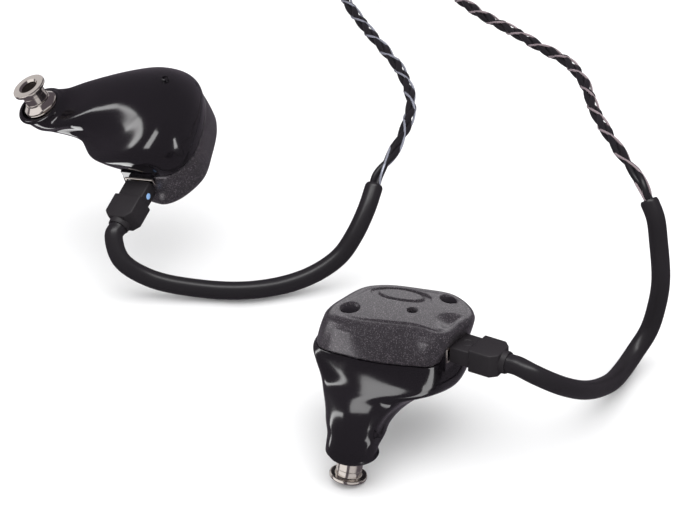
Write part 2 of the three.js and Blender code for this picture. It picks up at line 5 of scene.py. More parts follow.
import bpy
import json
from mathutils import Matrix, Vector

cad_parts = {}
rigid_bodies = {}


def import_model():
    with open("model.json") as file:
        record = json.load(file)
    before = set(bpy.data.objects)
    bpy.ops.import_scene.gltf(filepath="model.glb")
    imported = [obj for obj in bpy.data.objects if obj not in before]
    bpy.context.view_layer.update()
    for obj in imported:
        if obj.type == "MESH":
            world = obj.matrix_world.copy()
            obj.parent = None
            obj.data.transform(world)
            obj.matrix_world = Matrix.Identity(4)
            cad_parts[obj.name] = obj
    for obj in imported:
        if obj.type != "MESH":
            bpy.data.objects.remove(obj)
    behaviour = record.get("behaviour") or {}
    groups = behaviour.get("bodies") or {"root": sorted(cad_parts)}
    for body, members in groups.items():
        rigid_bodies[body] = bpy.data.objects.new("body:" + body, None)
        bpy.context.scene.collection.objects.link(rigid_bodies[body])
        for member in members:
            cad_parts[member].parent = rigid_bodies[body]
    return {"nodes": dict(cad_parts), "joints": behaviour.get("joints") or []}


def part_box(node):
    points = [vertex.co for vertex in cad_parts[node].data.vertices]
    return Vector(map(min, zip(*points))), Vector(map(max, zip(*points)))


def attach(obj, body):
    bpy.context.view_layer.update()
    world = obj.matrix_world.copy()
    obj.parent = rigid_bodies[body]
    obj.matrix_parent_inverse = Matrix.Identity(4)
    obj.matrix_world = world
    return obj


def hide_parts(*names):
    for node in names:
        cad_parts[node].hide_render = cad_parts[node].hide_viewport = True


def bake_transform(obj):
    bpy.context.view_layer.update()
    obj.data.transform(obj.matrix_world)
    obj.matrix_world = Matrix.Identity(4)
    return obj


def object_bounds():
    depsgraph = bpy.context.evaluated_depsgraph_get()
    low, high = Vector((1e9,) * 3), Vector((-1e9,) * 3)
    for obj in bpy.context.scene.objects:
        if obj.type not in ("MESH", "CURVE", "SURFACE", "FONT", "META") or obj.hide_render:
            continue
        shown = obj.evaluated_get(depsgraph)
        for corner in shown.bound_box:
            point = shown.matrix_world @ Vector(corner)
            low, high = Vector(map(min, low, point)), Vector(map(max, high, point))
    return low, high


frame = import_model()
cad_bounds = [list(corner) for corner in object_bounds()]

import json
import math

import bmesh
import bpy
import numpy as np
from mathutils import Matrix, Vector

MM = 0.001

# ---- sizes in millimetres ------------------------------------------------------------------
BAND_HEIGHT = 5.4
TOP_ROUNDING = 1.25
CROWN = 0.35
NECK_END = np.array([2.75, -17.05, -13.2])
NOZZLE_TIP = np.array([2.35, -17.6, -17.7])
NECK_RADIUS = 3.75
NECK_LIP = ((3.68, 0.15), (3.58, 0.32), (3.4, 0.46), (3.15, 0.52), (2.98, 0.48), (2.95, -1.0))
PLUG_START = 9.4
PLUG_LENGTH = 7.6
NOSE_LENGTH = 3.1
MID_Y = 1.3
PLUG_Z = -3.8
PIVOT = np.array([17.9, MID_Y, PLUG_Z])
HOOK_START = 18.1
ROOT_LENGTH = 5.0  # first stretch of the hook, built as its own piece
HOOK_STEP = 0.25
HOOK_RADIUS = 1.42
CABLE_RADIUS = 0.95
MAIN_RADIUS = 1.35
CABLE_PITCH = 10.5
MAIN_PITCH = 13.0
CAPS_AT = ((-6.3, -2.7, 1.35), (4.9, 7.1, 1.35))
VENT_AT = (2.0, 1.0, 0.62)
SHELL_VENT = np.array([-4.53, 3.48, -13.44])
SHELL_VENT_WAY = np.array([-0.35, 0.3, -0.9])
EMBLEM = (-1.6, 4.1, 4.0, 1.6, math.radians(12))
SLIDER_AT = np.array([12.0, 112.0, 2.2])

SEAM_OUTLINE = [
    (8.3, 1.2), (8.6, 4.6), (7.9, 7.4), (4.4, 9.3), (0.0, 8.8), (-5.0, 6.9), (-8.8, 4.2),
    (-10.9, 0.4), (-11.1, -3.6), (-9.0, -6.7), (-4.4, -6.9), (0.4, -6.1), (4.9, -4.5),
    (7.3, -3.3), (8.1, -1.4),
]
TOP_OUTLINE = [
    (10.2, 1.2), (10.5, 4.4), (8.9, 7.0), (4.5, 9.2), (-0.5, 8.3), (-5.6, 6.5), (-8.1, 4.2),
    (-9.1, 0.2), (-9.3, -3.6), (-7.7, -6.1), (-4.3, -6.3), (0.4, -4.9), (4.9, -3.4),
    (8.6, -3.1), (10.0, -1.8),
]
# Shell sections from the seam to the neck: lobe end y z, neck end y z, half width, middle x,
# roundness and roll.
SECTIONS = np.array([
    (9.3, -5.4, -6.9, -5.4, 9.85, -1.25, 0, 0),
    (9.4, -7.6, -8.0, -6.0, 10.4, -1.2, 0.15, 0),
    (8.8, -10.4, -9.6, -6.7, 10.3, -0.6, 0.4, 0),
    (7.0, -12.8, -11.5, -7.4, 9.2, -0.1, 0.65, 0.05),
    (3.4, -14.0, -13.6, -8.0, 6.75, -0.65, 0.85, 0.1),
    (-1.4, -14.2, -15.7, -8.8, 5.2, -0.2, 1, 0.15),
    (-6.2, -13.8, -17.5, -9.8, 4.4, 0.7, 1, 0.15),
    (-10.0, -13.2, -19.0, -10.9, 4.1, 1.9, 1, 0.1),
    (-12.4, -13.0, -20.2, -12.2, 3.85, 2.4, 1, 0.05),
    (-13.3, -13.3, -20.8, -13.3, NECK_RADIUS, 2.6, 1, 0),
])
# A fuller corner between the neck and the plug: how much, and where down the shell.
SWELL, SWELL_AT, SWELL_WIDTH = 5.0, 0.6, 0.22
RING = 288
SHELL_RINGS = 150

LEFT_HOOK = [
    (-35.3, -12.7, 6.2), (-30.8, -13.2, 3.1), (-23.0, -13.7, 1.55), (-15.5, -14.2, 1.55),
    (-9.0, -12.4, 1.8), (-4.6, -10.8, 3.0), (-1.3, -9.3, 5.0), (0.9, -7.7, 7.8),
    (2.7, -5.2, 10.8), (4.0, -2.1, 13.5),
]
LEFT_RUN = [
    (4.0, -2.1, 13.5), (4.5, -0.92, 14.53), (6.5, 2.5, 16.0), (9.0, 10.5, 17.0),
    (10.0, 19.0, 17.0), (8.5, 32.0, 16.0), (6.0, 41.5, 15.0), (2.5, 54.0, 13.5),
    (-0.5, 67.0, 12.0), (0.0, 79.0, 8.5), (5.0, 91.0, 4.5), (10.4, 102.0, 1.8),
    (10.4, 106.0, 1.8), (10.4, 126.4, 1.8),
]
RIGHT_HOOK = [
    (26.3, -58.4, 13.8), (29.0, -57.4, 11.8), (31.6, -54.6, 9.1), (34.2, -50.8, 6.3),
    (36.6, -46.6, 4.0), (39.0, -42.0, 2.3), (41.0, -37.5, 1.7), (43.0, -34.0, 2.6),
    (45.0, -32.0, 5.0), (46.0, -31.5, 8.5), (46.5, -31.5, 13.5), (46.0, -30.0, 19.5),
    (45.5, -29.0, 22.8), (44.5, -27.5, 25.0),
]
RIGHT_RUN = [
    (44.5, -27.5, 25.0), (43.9, -26.6, 26.3), (43.0, -24.8, 27.4), (40.5, -17.0, 28.0),
    (38.0, -3.5, 27.0), (37.0, 9.5, 25.5), (35.0, 20.5, 23.5), (31.5, 30.5, 21.0),
    (27.0, 43.0, 18.0), (22.5, 55.0, 15.0), (19.5, 65.5, 12.5), (17.0, 78.0, 9.0),
    (14.8, 90.0, 5.0), (13.6, 102.0, 1.8), (13.6, 106.0, 1.8), (13.6, 126.4, 1.8),
]
COIL_AT = np.array([14.0, 158.0])
COIL_RADIUS = 21.0
COIL_TURNS = 3
DESCENT = ((22.6, 11.2), (24.6, 9.6), (25.6, 7.0), (26.0, 4.8), (26.0, 3.7), (26.0, 3.3))

# ---- curves --------------------------------------------------------------------------------


def catmull(points, samples, closed=False, power=0.5):
    """Points along a Catmull-Rom curve; power 0.5 is centripetal and 0 is uniform."""
    p = np.asarray(points, float)
    if closed:
        p = np.vstack([p[-1], p, p[0], p[1]])
    else:
        p = np.vstack([2 * p[0] - p[1], p, 2 * p[-1] - p[-2]])
    spans = len(p) - 3
    t = np.linspace(0, spans, samples, endpoint=not closed)
    k = np.minimum(t.astype(int), spans - 1)
    u = (t - k)[:, None]
    a, b, c, d = p[k], p[k + 1], p[k + 2], p[k + 3]
    if power == 0:
        m1, m2 = (c - a) / 2, (d - b) / 2
    else:
        s0, s1, s2 = (
            np.maximum(np.linalg.norm(q - r, axis=1, keepdims=True), 1e-9) ** power
            for q, r in ((b, a), (c, b), (d, c))
        )
        m1 = ((b - a) / s0 - (c - a) / (s0 + s1) + (c - b) / s1) * s1
        m2 = ((c - b) / s1 - (d - b) / (s1 + s2) + (d - c) / s2) * s1
    return (
        b
        + m1 * u
        + (3 * (c - b) - 2 * m1 - m2) * u**2
        + (2 * (b - c) + m1 + m2) * u**3
    )


def even(points, step):
    """The same polyline with points a given distance apart."""
    p = np.asarray(points, float)
    run = np.concatenate([[0], np.cumsum(np.linalg.norm(np.diff(p, axis=0), axis=1))])
    count = max(4, int(round(run[-1] / step)) + 1)
    at = np.linspace(0, run[-1], count)
    return np.stack([np.interp(at, run, p[:, i]) for i in range(3)], axis=1)


def frames(path):
    """Two cross directions that turn as little as they can along a path."""
    tangents = np.gradient(path, axis=0)
    tangents /= np.linalg.norm(tangents, axis=1, keepdims=True)
    first = np.cross(tangents[0], (0.1, 0.2, 1.0))
    normals = [first / np.linalg.norm(first)]
    for t in tangents[1:]:
        n = normals[-1] - t * (normals[-1] @ t)
        normals.append(n / np.linalg.norm(n))
    normals = np.array(normals)
    return normals, np.cross(tangents, normals)


# ---- meshes --------------------------------------------------------------------------------


def make(name, points, faces, material, sharp=40):
    """A mesh object from points in millimetres of the row frame, with faces turned outwards."""
    mesh = bpy.data.meshes.new(name)
    mesh.from_pydata((np.asarray(points, float) * MM).tolist(), [], faces)
    work = bmesh.new()
    work.from_mesh(mesh)
    bmesh.ops.recalc_face_normals(work, faces=work.faces)
    work.to_mesh(mesh)
    work.free()
    mesh.materials.append(material)
    mesh.shade_smooth()
    mesh.set_sharp_from_angle(angle=math.radians(sharp))
    obj = bpy.data.objects.new(name, mesh)
    bpy.context.scene.collection.objects.link(obj)
    return obj


def loft_faces(rings, count):
    """Quads between rings and a fan at each end; the two fan centres are the last points."""
    faces = []
    for k in range(rings - 1):
        for i in range(count):
            j = (i + 1) % count
            faces.append((k * count + i, k * count + j, (k + 1) * count + j, (k + 1) * count + i))
    first, last = rings * count, rings * count + 1
    base = (rings - 1) * count
    for i in range(count):
        j = (i + 1) % count
        faces.append((first, j, i))
        faces.append((last, base + i, base + j))
    return faces


def loft(name, rings, material, place=lambda p: p, sharp=40):
    rings = np.asarray(rings, float)
    points = np.vstack([rings.reshape(-1, 3), rings[0].mean(0), rings[-1].mean(0)])
    return make(name, place(points), loft_faces(len(rings), rings.shape[1]), material, sharp)


def tube(name, path, radius, material, sides=32, place=lambda p: p):
    path = np.asarray(path, float)
    n, b = frames(path)
    turn = np.linspace(0, 2 * math.pi, sides, endpoint=False)
    radii = np.broadcast_to(radius, len(path))
    around = (
        n[:, None, :] * np.cos(turn)[None, :, None] + b[:, None, :] * np.sin(turn)[None, :, None]
    )
    return loft(name, path[:, None, :] + around * radii[:, None, None], material, place)


def turned(name, profile, material, start, way, segments=72, place=lambda p: p, sharp=35):
    """A round piece from (along, radius) pairs, laid from start along way."""
    way = np.asarray(way, float) / np.linalg.norm(way)
    side = np.cross(way, (0.3, 1.0, 0.2))
    side /= np.linalg.norm(side)
    up = np.cross(way, side)
    turn = np.linspace(0, 2 * math.pi, segments, endpoint=False)
    around = side * np.cos(turn)[:, None] + up * np.sin(turn)[:, None]
    rings = [np.asarray(start) + way * a + around * max(r, 1e-3) for a, r in profile]
    return loft(name, rings, material, place, sharp)


def rounded(name, size, middle, edge, material, place=lambda p: p, segments=4, shape=None):
    """A block with rounded edges; shape moves its eight corners before the rounding."""
    work = bmesh.new()
    bmesh.ops.create_cube(work, size=1)
    for v in work.verts:
        v.co = Vector(np.array(v.co) * size)
        if shape:
            v.co = Vector(shape(np.array(v.co)))
    bmesh.ops.bevel(
        work, geom=work.edges[:], offset=edge, segments=segments, profile=0.5, affect="EDGES"
    )
    points = np.array([v.co for v in work.verts]) + middle
    faces = [[v.index for v in f.verts] for f in work.faces]
    work.free()
    return make(name, place(points), faces, material, 30)


def fit(obj, body, *nodes, slot=None):
    """Fastens a piece to a body, in place of some CAD nodes; the slot argument is not used."""
    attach(obj, body)
    if nodes:
        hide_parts(*nodes)


# ---- materials -----------------------------------------------------------------------------


def material(name, color, roughness, metallic=0.0, coat=0.0, grain=900.0, bump=0.05, spread=0.08,
             depth=0.00002, tint=0.25, coat_roughness=0.11):
    """Principled finish whose colour, roughness and bump all vary with noise."""
    made = bpy.data.materials.new(name)
    made.use_nodes = True
    nodes, links = made.node_tree.nodes, made.node_tree.links
    shader = nodes["Principled BSDF"]
    place = nodes.new("ShaderNodeTexCoord")
    noise = nodes.new("ShaderNodeTexNoise")
    noise.inputs["Scale"].default_value = grain
    noise.inputs["Detail"].default_value = 6
    links.new(place.outputs["Object"], noise.inputs["Vector"])
    wide = nodes.new("ShaderNodeTexNoise")
    wide.inputs["Scale"].default_value = 90
    links.new(place.outputs["Object"], wide.inputs["Vector"])
    rough = nodes.new("ShaderNodeMapRange")
    rough.inputs["To Min"].default_value = max(0.02, roughness - spread)
    rough.inputs["To Max"].default_value = roughness + spread
    links.new(noise.outputs["Fac"], rough.inputs["Value"])
    links.new(rough.outputs["Result"], shader.inputs["Roughness"])
    mix = nodes.new("ShaderNodeMix")
    mix.data_type = "RGBA"
    dark = [c * (1 - tint) for c in color]
    light = [min(1.0, c * (1 + tint)) for c in color]
    mix.inputs["A"].default_value = (*dark, 1)
    mix.inputs["B"].default_value = (*light, 1)
    links.new(wide.outputs["Fac"], mix.inputs["Factor"])
    links.new(mix.outputs["Result"], shader.inputs["Base Color"])
    relief = nodes.new("ShaderNodeBump")
    relief.inputs["Strength"].default_value = bump
    relief.inputs["Distance"].default_value = depth
    links.new(noise.outputs["Fac"], relief.inputs["Height"])
    links.new(relief.outputs["Normal"], shader.inputs["Normal"])
    shader.inputs["Metallic"].default_value = metallic
    shader.inputs["Coat Weight"].default_value = coat
    shader.inputs["Coat Roughness"].default_value = coat_roughness
    return made


def flake_material(name):
    """Dark metal flake under clear lacquer: small cells, each with its own tilt and brightness; the
    brighter cells are partly the flakes' own random tone and partly painted sparkle highlights.
    """
    made = material(name, (0.028, 0.024, 0.027), 0.3, 0.55, 0.9, 4000, 0.1, 0.06)
    nodes, links = made.node_tree.nodes, made.node_tree.links
    shader = nodes["Principled BSDF"]
    place = nodes.new("ShaderNodeTexCoord")
    cells = nodes.new("ShaderNodeTexVoronoi")
    cells.inputs["Scale"].default_value = 11000
    links.new(place.outputs["Object"], cells.inputs["Vector"])
    split = nodes.new("ShaderNodeSeparateColor")
    links.new(cells.outputs["Color"], split.inputs["Color"])
    # Cell brightness: random flake tone, with the bright end of the ramp as painted sparkle
    # highlights.
    ramp = nodes.new("ShaderNodeValToRGB")
    ramp.color_ramp.elements[0].position = 0.60
    ramp.color_ramp.elements[0].color = (0.05, 0.044, 0.051, 1)
    ramp.color_ramp.elements[1].position = 1.0
    ramp.color_ramp.elements[1].color = (0.24, 0.215, 0.235, 1)
    middle = ramp.color_ramp.elements.new(0.86)
    middle.color = (0.085, 0.076, 0.086, 1)
    links.new(split.outputs["Red"], ramp.inputs["Fac"])
    links.new(ramp.outputs["Color"], shader.inputs["Base Color"])
    relief = nodes.new("ShaderNodeBump")
    relief.inputs["Strength"].default_value = 0.35
    relief.inputs["Distance"].default_value = 0.00006
    links.new(split.outputs["Green"], relief.inputs["Height"])
    links.new(relief.outputs["Normal"], shader.inputs["Normal"])
    shader.inputs["Coat Roughness"].default_value = 0.24
    return made


GLOSS = material("gloss_black", (0.005, 0.0042, 0.0055), 0.14, 0, 0.8, 260, 0.015, 0.02)
FLAKE = flake_material("flake")
STEEL = material("steel", (0.66, 0.61, 0.56), 0.16, 1.0, 0, 1500, 0.12, 0.05, 0.00001, 0.1)
# Dark colour for the cup inside the nozzle's bore: painted shade for the inside of the hole.
BORE = material("bore", (0.05, 0.038, 0.033), 0.45, 0.5, 0, 2500, 0.3, 0.1)
GOLD = material("gold", (0.80, 0.58, 0.25), 0.2, 1.0, 0, 1500, 0.1, 0.05)
PLASTIC = material("housing_plastic", (0.017, 0.0145, 0.017), 0.5, 0, 0, 5200, 0.5, 0.1, 0.00004)
SLEEVE = material("sleeve", (0.012, 0.0105, 0.0125), 0.33, 0, 0, 1800, 0.1, 0.06)
STRAND = material("strand_black", (0.010, 0.009, 0.011), 0.35, 0, 0, 3000, 0.2, 0.1)
CLEAR_BLUE = material("strand_blue", (0.30, 0.31, 0.37), 0.25, 0.4, 0.5, 3500, 0.3, 0.1)
CLEAR_PINK = material("strand_pink", (0.37, 0.30, 0.32), 0.25, 0.4, 0.5, 3500, 0.3, 0.1)
WIRE_MESH = material("mesh", (0.25, 0.25, 0.27), 0.35, 0.9, 0, 9000, 0.9, 0.1, 0.00008)
CASE = material("driver_case", (0.45, 0.45, 0.46), 0.3, 1.0, 0, 1800, 0.2, 0.06)
BOARD = material("board", (0.02, 0.10, 0.05), 0.4, 0, 0.4, 2500, 0.2, 0.1)
CLEAR = material("clear_tube", (0.55, 0.57, 0.6), 0.2, 0, 0.3, 1200, 0.1, 0.05)
BLUE = material("left_mark", (0.27, 0.47, 0.80), 0.35, 0, 0.3, 3000, 0.15, 0.08, tint=0.1)
RED = material("right_mark", (0.62, 0.07, 0.09), 0.35, 0, 0.3, 3000, 0.15, 0.08, tint=0.1)
FLOOR = material("floor", (0.86, 0.86, 0.865), 0.65, 0, 0, 300, 0.02, 0.08, tint=0.01)
FLOOR.node_tree.nodes["Principled BSDF"].inputs["Specular IOR Level"].default_value = 0

# ---- where things are ----------------------------------------------------------------------


def middle_of(node):
    low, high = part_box(node)
    return np.array((low + high) / 2) / MM


SHIFT = middle_of("chin_slider") - SLIDER_AT
JOINTS = {j["name"]: j for j in frame["joints"]}


def in_row(points):
    return np.asarray(points, float) + SHIFT


class Seat:
    """The frame of one earpiece, read back from its two joints."""

    def __init__(self, side):
        self.side = side
        mirror = 1 if side == "right" else -1
        hinge = JOINTS[f"{side}_hook_flex"]
        x = -np.array(JOINTS[f"{side}_unplug"]["axis"], float)
        z = np.array(hinge["axis"], float)
        x /= np.linalg.norm(x)
        z /= np.linalg.norm(z)
        self.axes = np.stack([x, np.cross(z, x) * mirror, z])
        self.origin = np.array(hinge["pos_m"]) / MM - PIVOT @ self.axes

    def __call__(self, points):
        return np.asarray(points, float) @ self.axes + self.origin


# ---- faceplate and shell -------------------------------------------------------------------
SEAM_LOOP = catmull(SEAM_OUTLINE, RING, closed=True)
TOP_LOOP = catmull(TOP_OUTLINE, RING, closed=True)


def shrunk(loop, inset):
    """A closed outline moved inwards."""
    way = np.roll(loop, -1, axis=0) - np.roll(loop, 1, axis=0)
    inward = np.stack([-way[:, 1], way[:, 0]], axis=1)
    inward /= np.linalg.norm(inward, axis=1, keepdims=True)
    return loop + inward * inset


def band_ring(height, inset, bulge=0.0):
    share = height / BAND_HEIGHT
    loop = SEAM_LOOP * (1 - share) + TOP_LOOP * share
    ring = shrunk(loop, inset - bulge)
    return np.column_stack([ring, np.full(len(ring), height - BAND_HEIGHT)])


def soft(edge0, edge1, value):
    t = np.clip((value - edge0) / (edge1 - edge0), 0, 1)
    return t * t * (3 - 2 * t)


def top_height(x, y):
    """Relief of the faceplate top: a low crown, cap and vent seats, an oval groove, a scoop."""
    height = CROWN * (1 - (x / 10) ** 2 - ((y - 1.5) / 8) ** 2)
    for cx, cy, radius in (*CAPS_AT, VENT_AT):
        away = np.hypot(x - cx, y - cy)
        height = height - 0.55 * (1 - soft(radius - 0.05, radius + 0.22, away))
    cx, cy, long, short, turn = EMBLEM
    u = (x - cx) * math.cos(turn) + (y - cy) * math.sin(turn)
    v = -(x - cx) * math.sin(turn) + (y - cy) * math.cos(turn)
    off = np.abs(np.hypot(u / long, v / short) - 1) * short
    height = height - 0.3 * (1 - soft(0.12, 0.34, off))
    saddle = np.hypot((x - 8.4) / 3.0, (y - 1.4) / 2.6)
    return height - 0.6 * (1 - soft(0.1, 1.0, saddle))


def build_faceplate(seat):
    rings = [band_ring(0.0, 0.5), band_ring(0.0, 0.12), band_ring(0.1, 0.0)]
    for height in np.linspace(0.3, BAND_HEIGHT - TOP_ROUNDING, 14):
        share = height / BAND_HEIGHT
        rings.append(band_ring(height, 0.0, 0.16 * math.sin(math.pi * share)))
    for angle in np.linspace(0, math.pi / 2, 12)[1:]:
        rise = TOP_ROUNDING * math.sin(angle)
        inset = TOP_ROUNDING * (1 - math.cos(angle))
        rings.append(band_ring(BAND_HEIGHT - TOP_ROUNDING + rise, inset))
    rim = rings[-1][:, :2]
    heart = rim.mean(0)
    for share in np.linspace(1, 0.004, 96)[1:]:
        ring = heart + (rim - heart) * share
        height = top_height(ring[:, 0], ring[:, 1])
        fade = soft(0, 0.12, 1 - share)
        rings.append(np.column_stack([ring, height * fade]))
    obj = loft(f"{seat.side}_faceplate_skin", rings, FLAKE, seat, sharp=60)
    nodes = f"{seat.side}_faceplate", f"{seat.side}_emblem_ring"
    fit(obj, f"{seat.side}_earpiece", *nodes, slot="flake")


def shell_rings():
    table = catmull(SECTIONS, SHELL_RINGS, power=0)
    unit = (SEAM_LOOP - [SECTIONS[0][5], 1.2]) / [SECTIONS[0][4], 8.1]
    size = np.linalg.norm(unit, axis=1, keepdims=True)
    rings = []
    for k, (ly, lz, ny, nz, half, x, roundness, roll) in enumerate(table):
        groove = 0.3 if k == 0 else 0.05 + 0.22 * math.exp(-((k - 0.5) ** 2) / 1.2)
        lobe, neck = np.array([0, ly, lz]), np.array([0, ny, nz])
        chord = lobe - neck
        reach = np.linalg.norm(chord) / 2
        way = chord / (2 * reach)
        shape = unit * (1 - roundness) + unit / size * roundness
        across, along = (half - groove) * shape[:, :1], (reach - groove) * shape[:, 1:]
        ring = (lobe + neck) / 2 + across * [1, 0, 0] + along * way
        toward_plug, toward_neck = np.clip(shape[:, 0], 0, 1), np.clip(-shape[:, 1], 0, 1)
        plug_corner = (toward_plug * toward_neck) ** 2
        swell = SWELL * math.exp(-((k / SHELL_RINGS - SWELL_AT) / SWELL_WIDTH) ** 2)
        ring[:, 0] += x + swell * plug_corner
        ring[:, 2] += roll * across[:, 0]
        rings.append(ring)
    return rings


def build_shell(seat):
    rings = shell_rings()
    last = rings[-1]
    heart = last.mean(0)
    out = (last - heart) / np.linalg.norm(last - heart, axis=1, keepdims=True)
    for radius, drop in NECK_LIP:
        rings.append(heart + out * radius - [0, 0, drop])
    obj = loft(f"{seat.side}_shell_skin", rings, GLOSS, seat, sharp=50)
    fit(obj, f"{seat.side}_earpiece", f"{seat.side}_shell", slot="gloss_black")


def height_at(x, y):
    return float(top_height(np.array([x]), np.array([y]))[0])


def build_caps(seat):
    """The two glossy domes and the small bead in the faceplate, and the vent ring in the dome."""
    body = f"{seat.side}_earpiece"
    for (x, y, radius), name in zip(CAPS_AT, ("front_cap", "rear_cap")):
        base = height_at(x, y)
        wide = radius * 0.98
        dome = [(base - 0.6, wide), (base + 0.02, wide)]
        for angle in np.linspace(0, 90, 10)[1:]:
            a = math.radians(angle)
            dome.append((base + 0.02 + 0.48 * math.sin(a), wide * math.cos(a)))
        obj = turned(f"{seat.side}_{name}_dome", dome, GLOSS, (x, y, 0), (0, 0, 1), 64, seat, 50)
        fit(obj, body, f"{seat.side}_{name}", slot="gloss_black")
    x, y, radius = VENT_AT
    base = height_at(x, y)
    bead = [
        (base - 0.5, radius * 0.95), (base + 0.05, radius * 0.95), (base + 0.2, radius * 0.75),
        (base + 0.24, 0.0),
    ]
    obj = turned(f"{seat.side}_vent_bead", bead, GLOSS, (x, y, 0), (0, 0, 1), 40, seat, 50)
    fit(obj, body, f"{seat.side}_faceplate_vent")
    ring = [
        (-0.6, 0.0), (-0.6, 0.62), (0.16, 0.62), (0.24, 0.55), (0.24, 0.46), (0.05, 0.42),
        (0.05, 0.0),
    ]
    obj = turned(f"{seat.side}_shell_vent_ring", ring, GLOSS, SHELL_VENT, SHELL_VENT_WAY, 40, seat)
    fit(obj, body, f"{seat.side}_shell_vent")


# Along and radius, from the lip of the nozzle up into the neck.
NOZZLE_PROFILE = [
    (4.4, 0.0), (4.4, 1.28), (0.42, 1.28), (0.3, 1.3), (0.0, 1.62), (0.0, 2.55), (0.03, 2.64),
    (0.1, 2.71), (0.2, 2.73), (0.42, 2.73), (0.52, 2.70), (0.58, 2.62), (0.6, 2.5), (0.6, 1.98),
    (0.66, 1.91), (0.8, 1.88), (1.5, 1.88), (1.54, 1.84), (1.6, 1.84), (1.64, 1.88), (2.75, 1.88),
    (2.8, 1.93), (2.84, 2.03), (3.05, 2.05), (3.12, 2.1), (3.6, 2.68), (3.7, 2.76), (3.84, 2.82),
    (3.95, 2.8), (4.02, 2.7), (4.04, 2.5), (4.16, 2.5), (4.18, 2.7), (4.26, 2.78), (4.5, 2.78),
    (4.6, 2.7), (4.6, 1.9), (5.6, 1.9), (5.6, 0.0),
]
# A dark cup inside the nozzle's bore, painted shade for the hole's inside: along and radius.
BORE_PROFILE = [
    (0.5, 1.275), (0.5, 1.2), (4.0, 1.2), (4.0, 0.0), (4.3, 0.0), (4.3, 1.275), (0.5, 1.275),
]


def build_nozzle(seat):
    body = f"{seat.side}_earpiece"
    way = NECK_END - NOZZLE_TIP
    name = f"{seat.side}_nozzle"
    obj = turned(f"{name}_turned", NOZZLE_PROFILE, STEEL, NOZZLE_TIP, way, 96, seat, 30)
    # The dark cup in the bore is painted shade for the inside of the hole.
    shade_cup = turned(f"{name}_bore", BORE_PROFILE, BORE, NOZZLE_TIP, way, 64, seat, 30)
    fit(shade_cup, body)
    fit(obj, body, name, slot="steel")


def build_socket(seat):
    """The steel frame round the two-pin socket and the flake facet under it."""
    body = f"{seat.side}_earpiece"
    flat, upright = (0.28, 5.5, 0.3), (0.28, 0.3, 3.4)
    bars = (flat, 0, 1.55), (flat, 0, -1.55), (upright, 2.6, 0), (upright, -2.6, 0)
    for i, (size, y, z) in enumerate(bars):
        middle = (9.12, MID_Y + y, -3.5 + z)
        fit(rounded(f"{seat.side}_socket_bar_{i}", size, middle, 0.1, STEEL, seat), body)
    size, middle = (1.7, 4.2, 0.3), (7.9, MID_Y, -6.3)
    fit(rounded(f"{seat.side}_socket_facet", size, middle, 0.1, FLAKE, seat), body)


# ---- plug, hook and cable ------------------------------------------------------------------


def prism(name, outline, half_height, middle, edge, material, place):
    """An upright block from an outline in x and y, with rounded edges."""
    work = bmesh.new()
    low = [work.verts.new((x, y, -half_height)) for x, y in outline]
    high = [work.verts.new((x, y, half_height)) for x, y in outline]
    work.faces.new(low)
    work.faces.new(high)
    for i in range(len(outline)):
        j = (i + 1) % len(outline)
        work.faces.new((low[i], low[j], high[j], high[i]))
    bmesh.ops.recalc_face_normals(work, faces=work.faces)
    bmesh.ops.bevel(
        work, geom=work.edges[:], offset=edge, segments=4, profile=0.5, affect="EDGES"
    )
    points = np.array([v.co for v in work.verts]) + middle
    faces = [[v.index for v in f.verts] for f in work.faces]
    work.free()
    return make(name, place(points), faces, material, 30)


# Along and radius, from the face each one stands on.
COLLAR_PROFILE = [
    (-0.4, 0.0), (-0.4, 1.72), (0.15, 1.72), (0.3, 1.7), (0.6, 1.68), (0.8, 1.6), (0.8, 1.3),
    (0.5, 1.2), (0.5, 0.0),
]
MARK_PROFILE = [(-0.2, 0.0), (-0.2, 0.5), (0.03, 0.5), (0.08, 0.42), (0.08, 0.0)]
GRIP_PROFILE = [
    (-0.2, 0.0), (-0.2, 0.9), (0.02, 0.9), (0.06, 0.8), (-0.02, 0.7), (-0.04, 0.0),
]


def build_plug(seat):
    """The moulded two-pin plug: nose, wide rear, collar, coloured mark and a shallow grip."""
    name = f"{seat.side}_plug"
    middle = (PLUG_START + 1.75, MID_Y, PLUG_Z)
    nose = rounded(f"{name}_nose", (3.6, 4.7, 2.6), middle, 0.2, PLASTIC, seat)
    half, long = 2.55, PLUG_LENGTH - NOSE_LENGTH
    outline = [
        (0, -half), (long - 1.0, -half), (long, 1.0 - half), (long, half - 1.0),
        (long - 1.0, half), (0, half),
    ]
    middle = (PLUG_START + NOSE_LENGTH, MID_Y, PLUG_Z)
    rear = prism(f"{name}_rear", outline, 1.8, middle, 0.22, PLASTIC, seat)
    end = (PLUG_START + PLUG_LENGTH, MID_Y, PLUG_Z)
    collar = turned(f"{name}_collar", COLLAR_PROFILE, PLASTIC, end, (1, 0, 0), 56, seat)
    color = BLUE if seat.side == "left" else RED
    spot = (PLUG_START + 1.9, MID_Y + 2.35, PLUG_Z)
    mark = turned(f"{name}_mark", MARK_PROFILE, color, spot, (0, 1, 0), 40, seat)
    spot = (PLUG_START + 1.7, MID_Y, -2.5)
    grip = turned(f"{name}_grip", GRIP_PROFILE, PLASTIC, spot, (0, 0, 1), 48, seat)
    fit(nose, name, f"{name}_housing")
    fit(rear, name)
    fit(collar, name)
    fit(mark, name, f"{seat.side}_side_mark")
    fit(grip, name)


def build_hook(seat, through):
    lead = seat([[HOOK_START + along, MID_Y, PLUG_Z] for along in (-0.9, 0.0, 1.2)])
    path = even(catmull(np.vstack([lead, in_row(through)]), 900), HOOK_STEP)
    cut = int(ROOT_LENGTH / HOOK_STEP)
    root = tube(f"{seat.side}_hook_root", path[: cut + 2], HOOK_RADIUS, SLEEVE, 40)
    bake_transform(root)
    rest = path[cut:]
    radii = np.full(len(rest), HOOK_RADIUS)
    radii[-1] -= 0.18
    radii[-2] -= 0.04
    obj = tube(f"{seat.side}_hook_tube", rest, radii, SLEEVE, 40)
    fit(obj, "cable", f"{seat.side}_ear_hook", slot="sleeve")


